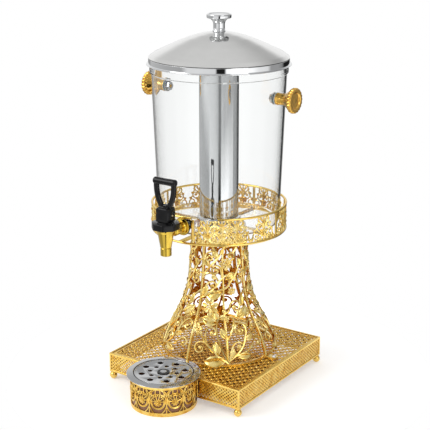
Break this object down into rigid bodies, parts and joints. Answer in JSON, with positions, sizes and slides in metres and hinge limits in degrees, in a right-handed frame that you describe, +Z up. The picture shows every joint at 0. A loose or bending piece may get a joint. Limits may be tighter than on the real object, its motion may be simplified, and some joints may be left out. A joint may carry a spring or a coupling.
{
  "type": "juice dispenser",
  "caption": "Juice dispenser: clear tapered tank with an ice tube and domed steel lid on a gold filigree pedestal, with a lever tap over a drip cup.",
  "frame": {"origin": "on the table plane under the axis of the tower and tank", "axes": "+Z up along the tower axis, -Y towards the user (tap and drip cup), +X to the user's right"},
  "size_m": [0.2864, 0.34, 0.6081],
  "materials": {
    "gold_plate": "polished",
    "mirror_steel": "mirror polished",
    "fastener_steel": "satin",
    "clear_plastic": "clear, polished",
    "black_plastic": "glossy",
    "clear_silicone": "smooth",
    "liner_plastic": "smooth"
  },
  "bodies": {
    "pedestal": {"base_frame": "gold_plate", "ball_feet": "gold_plate", "base_top_plate": "gold_plate", "base_screen_front_left": "gold_plate", "base_screen_front_right": "gold_plate", "base_screen_right": "gold_plate", "base_screen_back": "gold_plate", "base_screen_left": "gold_plate", "base_notch_band": "gold_plate", "tower_foot_ring": "gold_plate", "foot_tab_screws": "gold_plate", "tower_ribs": "gold_plate", "tower_panel_front_right": "gold_plate", "tower_panel_back_right": "gold_plate", "tower_panel_back_left": "gold_plate", "tower_panel_front_left": "gold_plate", "gallery_bottom_rail": "gold_plate", "gallery_top_rail": "gold_plate", "gallery_posts": "gold_plate", "gallery_filigree_front_right": "gold_plate", "gallery_filigree_back_right": "gold_plate", "gallery_filigree_back_left": "gold_plate", "gallery_filigree_front_left": "gold_plate", "support_spider": "gold_plate", "carry_knobs": "gold_plate", "tap_body": "gold_plate", "ice_tube": "mirror_steel", "stud_cap_nut": "fastener_steel", "carry_knob_nuts": "fastener_steel", "tank_spacer": "fastener_steel", "tank": "clear_plastic", "tap_bonnet": "black_plastic", "tap_shank_nut": "black_plastic", "tap_washer": "black_plastic", "ice_tube_seal": "clear_silicone", "carry_knob_gaskets": "clear_silicone", "tap_outer_gasket": "clear_silicone", "tap_inner_gasket": "clear_silicone"},
    "lid": {"lid_shell": "mirror_steel", "lid_knob": "mirror_steel", "lid_knob_screw": "fastener_steel", "lid_seat_ring": "mirror_steel"},
    "stem": {"tap_stem": "black_plastic", "tap_seat_cup": "clear_silicone"},
    "handle": {"tap_handle": "black_plastic", "tap_handle_pin": "fastener_steel"},
    "drip_cup": {"drip_cup_shell": "gold_plate", "drip_cup_liner": "liner_plastic", "drip_rim": "mirror_steel"},
    "grate": {"drip_grate": "mirror_steel"}
  },
  "joints": [
    {"name": "lid_lift", "type": "slide", "parent": "pedestal", "child": "lid", "axis": [0, 0, 1], "range_m": [0, 0.15]},
    {"name": "stem_lift", "type": "slide", "parent": "pedestal", "child": "stem", "axis": [0, 0, 1], "range_m": [0, 0.0042]},
    {"name": "handle_tilt", "type": "hinge", "parent": "stem", "child": "handle", "pos_m": [0, -0.147, 0.3136], "axis": [1, 0, 0], "range_deg": [0, 40], "stiffness_Nm_per_rad": 0.4},
    {"name": "cup_pull", "type": "slide", "parent": "pedestal", "child": "drip_cup", "axis": [0, -1, 0], "range_m": [0, 0.09]},
    {"name": "grate_lift", "type": "slide", "parent": "drip_cup", "child": "grate", "axis": [0, 0, 1], "range_m": [0, 0.04]}
  ],
  "couplings": [
    {"joint": "stem_lift", "follows": "handle_tilt", "m_per_rad": 0.006}
  ]
}
